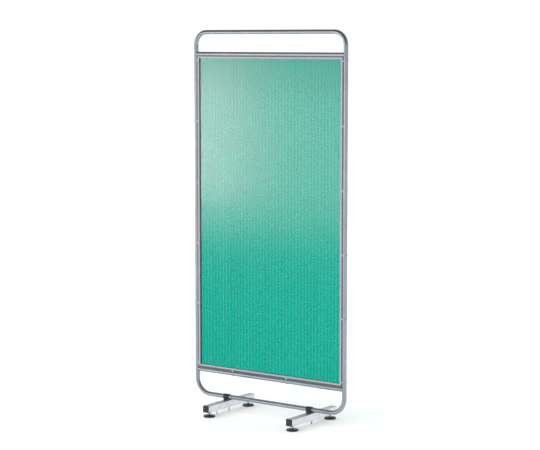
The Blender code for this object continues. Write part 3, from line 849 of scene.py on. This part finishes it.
def cylinder_cutter(x, radius, low, high):
    """An upright cylinder at (x, 0)."""
    bm = bmesh.new()
    add_loft(bm, [[point + Vector((x, 0, 0)) for point in circle(radius, z, 48)] for z in (low, high)])
    bmesh.ops.recalc_face_normals(bm, faces=bm.faces)
    mesh = bpy.data.meshes.new("cutter")
    bm.to_mesh(mesh)
    bm.free()
    cutter = bpy.data.objects.new("cutter", mesh)
    bpy.context.collection.objects.link(cutter)
    return cutter


def carved(bm, cutters):
    """The bmesh with the cutter objects taken out of it, and the cutters removed."""
    bmesh.ops.recalc_face_normals(bm, faces=bm.faces)
    mesh = bpy.data.meshes.new("blank")
    bm.to_mesh(mesh)
    blank = bpy.data.objects.new("blank", mesh)
    bpy.context.collection.objects.link(blank)
    for cutter in cutters:
        step = blank.modifiers.new("cut", "BOOLEAN")
        step.operation = "DIFFERENCE"
        step.solver = "EXACT"
        step.object = cutter
    shown = blank.evaluated_get(bpy.context.evaluated_depsgraph_get())
    bm.clear()
    bm.from_mesh(shown.to_mesh())
    shown.to_mesh_clear()
    for thing in [blank] + cutters:
        bpy.data.objects.remove(thing)
    return bm


def make_clamps():
    """Ribbed clamp blocks with a pocket for the bolt head and softened edges."""
    for side in SIDES:
        node = "clamp_block_" + side
        low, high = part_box(node)
        x = (low.x + high.x) / 2
        half = (high.x - low.x) / 2
        outline = clamp_outline(SCREEN_Y, BASE_Z)
        bm = bmesh.new()
        add_loft(bm, [[Vector((x + end, y, z)) for y, z in outline] for end in (-half, half)])
        lug_top = FOOT_Z + FOOT_SIZE + 0.0088
        cutters = [cylinder_cutter(x, 0.0033, FOOT_Z + FOOT_SIZE - 0.002, lug_top + 0.002),
                   cylinder_cutter(x, 0.00555, lug_top, lug_top + 0.03)]
        carved(bm, cutters)
        thing = add_piece("clamp_" + side, bm, MATERIALS["black_plastic"],
                          replaces=[node])
        add_bevel(thing, 0.0005, 2, 50)


def make_seals():
    """Seal strips with a soft bead along each visible edge; dark, they fill the gap between edge bars and
    tubes and also paint the shade there.
    """
    for side, _, placing in frame_sides():
        node = "seal_strip_" + side
        low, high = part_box(node)
        along = 0 if side in ("bottom", "top") else 2
        reach = (high[along] - low[along]) / 2
        space = {"bottom": FRAME_LOW - span("bottom_rail", 2)[1], "top": span("top_rail", 2)[0] - FRAME_HIGH}
        gap = space.get(side, POST_X - TUBE_R - FRAME_X)
        outline = seal_outline(gap)
        bm = bmesh.new()
        add_loft(bm, [[Vector((end * reach, through, inward)) for inward, through in outline]
                      for end in (-1, 1)])
        bm.transform(placing)
        add_piece("seal_" + side, bm, MATERIALS["dark_rubber"], replaces=[node])


def seal_outline(gap):
    """Section of a seal as (inward, through): flat on the bar, hollow round the tube, edges eased."""
    deep, ease = 0.0075, 0.0004
    points = [(-0.0003 - ease, deep), (-0.0003, deep - ease), (-0.0003, ease - deep), (-0.0003 - ease, -deep)]
    for i in range(13):
        through = (deep - ease * (i in (0, 12))) * (i / 6 - 1)
        tube = math.sqrt((TUBE_R + 0.0003) ** 2 - through ** 2)
        points.append((tube - TUBE_R - gap, through))
    return points


FLUTES = 100
RIB = 0.0011
SKIN = 0.0007
SINK_DEPTH = 0.00012
SINK_REACH = 0.00115


def sheet_stations(half):
    """Places across the sheet as (x, sink, in a rib from here on): a sink mark lies over every rib."""
    pitch = (2 * half - RIB) / FLUTES
    offsets = (-SINK_REACH, -0.0008, -RIB / 2, -RIB / 4, 0.0, RIB / 4, RIB / 2, 0.0008, SINK_REACH)
    stations = []
    for i in range(FLUTES + 1):
        centre = -half + RIB / 2 + i * pitch
        for offset in offsets:
            if abs(centre + offset) <= half + 1e-7:
                sink = SINK_DEPTH / 2 * (1 + math.cos(math.pi * offset / SINK_REACH))
                stations.append((centre + offset, sink, -RIB / 2 <= offset < RIB / 2))
    return stations


def make_sheet():
    """The ribbed sheet: two skins joined by upright ribs, open at the top and bottom of each flute."""
    deep = (SHEET_HIGH[1] - SHEET_LOW[1]) / 2
    stations = sheet_stations(SHEET_HIGH[0])
    bm = bmesh.new()
    columns = []
    for x, sink, in_rib in stations:
        through = (-deep + sink, -deep + SKIN, deep - SKIN, deep - sink)
        columns.append([[bm.verts.new((x, SCREEN_Y + y, z)) for y in through]
                        for z in (SHEET_LOW[2], SHEET_HIGH[2])])
    was_rib = False
    for (x, sink, in_rib), a, b in zip(stations, columns, columns[1:]):
        rows = (0, 3) if in_rib else (0, 1, 2, 3)
        for y in rows:
            bm.faces.new((a[0][y], b[0][y], b[1][y], a[1][y]))
        for y in (0, 1, 2) if in_rib else (0, 2):
            for z in (0, 1):
                bm.faces.new((a[z][y], b[z][y], b[z][y + 1], a[z][y + 1]))
        if in_rib != was_rib and a is not columns[0]:
            bm.faces.new((a[0][1], a[0][2], a[1][2], a[1][1]))
        was_rib = in_rib
    for column in (columns[0], columns[-1]):
        for y in range(3):
            bm.faces.new((column[0][y], column[0][y + 1], column[1][y + 1], column[1][y]))
    return add_piece("sheet", bm, MATERIALS["green_sheet"],
                     replaces=["panel_sheet"], sharp=40)


# ------------------------------------------------------------ carried-over nodes


def dress_nodes():
    """Give every CAD node that still shows its finished material."""
    slots = {part["node"]: part["material_slot"] for part in frame["record"]["subparts"]}
    for node, thing in frame["nodes"].items():
        material = MATERIALS[slots[node]]
        if node.startswith("level_pad"):
            material = PAD_PLASTIC
        for holder in thing.material_slots:
            holder.material = material


# ------------------------------------------------------------ stage, lights and camera


FLAG_EDGES = ((-0.058, 0.016), (-0.038, 0.045))      # in front of the tube, and outside it


def make_stage():
    """A wide pale floor, and a dark flag in front of the top tube that only reflections see."""
    bm = bmesh.new()
    add_flat(bm, [(-40, -40, 0), (40, -40, 0), (40, 40, 0), (-40, 40, 0)])
    shade = Shade("floor", (0.93, 0.93, 0.93), 0.9)
    speck = shade.remap(shade.noise(0.4, 2.0), 0.0, 1.0)
    shade.drive("Base Color", shade.blend(speck, (0.925, 0.925, 0.925), (0.935, 0.935, 0.935)))
    shade.put("Specular IOR Level", 0.0)
    stage_piece("floor", bm, shade.material)
    bm = bmesh.new()
    rows = []
    for point in bent_path(TOP_Z, TOP_BEND, TOP_Z - TOP_BEND)[5:]:
        away = outward_of_bend(point)
        rows.append([bm.verts.new(point + away * out + Vector((0, y, 0))) for y, out in FLAG_EDGES])
    for low, high in zip(rows, rows[1:]):
        bm.faces.new((low[0], high[0], high[1], low[1]))
    flag = stage_piece("flag", bm, Shade("flag", (0.004, 0.006, 0.01), 1.0).material)
    for sight in ("camera", "diffuse", "transmission", "shadow"):
        setattr(flag, "visible_" + sight, False)


def outward_of_bend(point):
    """Direction away from the loop's inside at a point of its upper half."""
    past = max(abs(point.x) - POST_X + TOP_BEND, 0)
    return Vector((past if point.x > 0 else -past, 0, point.z - TOP_Z + TOP_BEND)).normalized()


def add_flat(bm, corners):
    """One four-sided face."""
    bm.faces.new([bm.verts.new(corner) for corner in corners])


def stage_piece(name, bm, material):
    """An object that isn't part of the screen."""
    mesh = bpy.data.meshes.new(name)
    bm.to_mesh(mesh)
    bm.free()
    mesh.materials.append(material)
    thing = bpy.data.objects.new(name, mesh)
    bpy.context.collection.objects.link(thing)
    return thing


def area_light(name, place, target, size, radiance, colour=(1, 1, 1)):
    """A rectangular softbox of a given brightness, aimed at a point."""
    data = bpy.data.lights.new(name, "AREA")
    data.shape = "RECTANGLE"
    data.size, data.size_y = size
    data.energy = radiance * math.pi * size[0] * size[1]
    data.color = colour
    light = bpy.data.objects.new(name, data)
    light.location = place
    light.rotation_euler = (Vector(target) - Vector(place)).to_track_quat("-Z", "Y").to_euler()
    bpy.context.collection.objects.link(light)
    return light


def only_on(light, thing):
    """Let a light fall on one piece alone."""
    group = bpy.data.collections.new(light.name + "_on")
    group.objects.link(thing)
    light.light_linking.receiver_collection = group


SHEEN_COLOUR = (1.0, 0.31, 0.42)


def make_lights(sheet):
    """Softboxes on the left, two of them on the sheet alone, and a broad soft sun from above."""
    area_light("key", (-3.75, -5.0, 0.95), (0, 0, 1.1), (3.0, 1.15), 3.0)
    for name, x, z, size, radiance in (("sheen", -3.75, 0.95, (3.4, 1.5), 25.0),
                                       ("sheen_core", -4.5, 1.08, (0.5, 1.3), 168.0)):
        only_on(area_light(name, (x, -5.0, z), (0, 0, 1.1), size, radiance, SHEEN_COLOUR), sheet)
    data = bpy.data.lights.new("sky", "SUN")
    data.energy, data.angle = 0.9, 1.4
    sky = bpy.data.objects.new("sky", data)
    sky.rotation_euler = (math.radians(20), math.radians(-20), 0)
    sky.visible_glossy = sky.visible_transmission = False
    bpy.context.collection.objects.link(sky)


def make_world():
    """An even bright room, darker overhead where pieces mirror it."""
    world = bpy.data.worlds.new("studio")
    world.use_nodes = True
    tree = world.node_tree
    background = tree.nodes["Background"]
    background.inputs["Strength"].default_value = 1.06
    place = tree.nodes.new("ShaderNodeTexCoord")
    split = tree.nodes.new("ShaderNodeSeparateXYZ")
    tree.links.new(place.outputs["Generated"], split.inputs[0])
    ramp = tree.nodes.new("ShaderNodeValToRGB")
    stops = ((0.0, 0.95), (0.45, 0.85), (0.60, 0.62), (0.80, 0.40))
    while len(ramp.color_ramp.elements) < len(stops):
        ramp.color_ramp.elements.new(0.5)
    for element, (position, value) in zip(ramp.color_ramp.elements, stops):
        element.position = position
        element.color = (value * 0.96, value * 0.99, value, 1.0)
    lift = tree.nodes.new("ShaderNodeMapRange")
    lift.inputs["From Min"].default_value = -1.0
    tree.links.new(split.outputs["Z"], lift.inputs["Value"])
    tree.links.new(lift.outputs["Result"], ramp.inputs[0])
    path = tree.nodes.new("ShaderNodeLightPath")
    mix = tree.nodes.new("ShaderNodeMix")
    mix.data_type = "RGBA"
    mirrored = tree.nodes.new("ShaderNodeMath")
    mirrored.operation = "SUBTRACT"
    mirrored.use_clamp = True
    tree.links.new(path.outputs["Is Glossy Ray"], mirrored.inputs[0])
    tree.links.new(path.outputs["Is Transmission Ray"], mirrored.inputs[1])
    tree.links.new(mirrored.outputs[0], mix.inputs[0])
    mix.inputs[6].default_value = (1.0, 1.0, 1.0, 1.0)
    tree.links.new(ramp.outputs[0], mix.inputs[7])
    tree.links.new(mix.outputs[2], background.inputs["Color"])
    bpy.context.scene.world = world
    bpy.context.scene.view_settings.view_transform = "Standard"


CAMERA_AZIMUTH = 36.31
CAMERA_ELEVATION = 6.24
CAMERA_DISTANCE = 8.097
CAMERA_TARGET = (-0.0045, 0.0, 0.9418)
CAMERA_FIELD = 2 * math.atan(0.5 * 540 / 1688.2)


def make_camera():
    """The camera: raised a little above the top rail, turned towards the right of the screen."""
    data = bpy.data.cameras.new("camera")
    data.sensor_fit = "HORIZONTAL"
    data.angle = CAMERA_FIELD
    camera = bpy.data.objects.new("camera", data)
    turn, rise = math.radians(CAMERA_AZIMUTH), math.radians(CAMERA_ELEVATION)
    back = Vector((math.sin(turn) * math.cos(rise), -math.cos(turn) * math.cos(rise), math.sin(rise)))
    camera.location = Vector(CAMERA_TARGET) + back * CAMERA_DISTANCE
    camera.rotation_euler = (-back).to_track_quat("-Z", "Y").to_euler()
    bpy.context.collection.objects.link(camera)
    bpy.context.scene.camera = camera


make_camera()
make_stage()
dress_nodes()
make_loop()
make_rails()
make_edge_frame()
make_seals()
make_spacers()
make_screws()
make_lights(make_sheet())
make_world()
make_levellers()
make_caps()
make_clamps()
make_clamp_hardware()
make_pin()
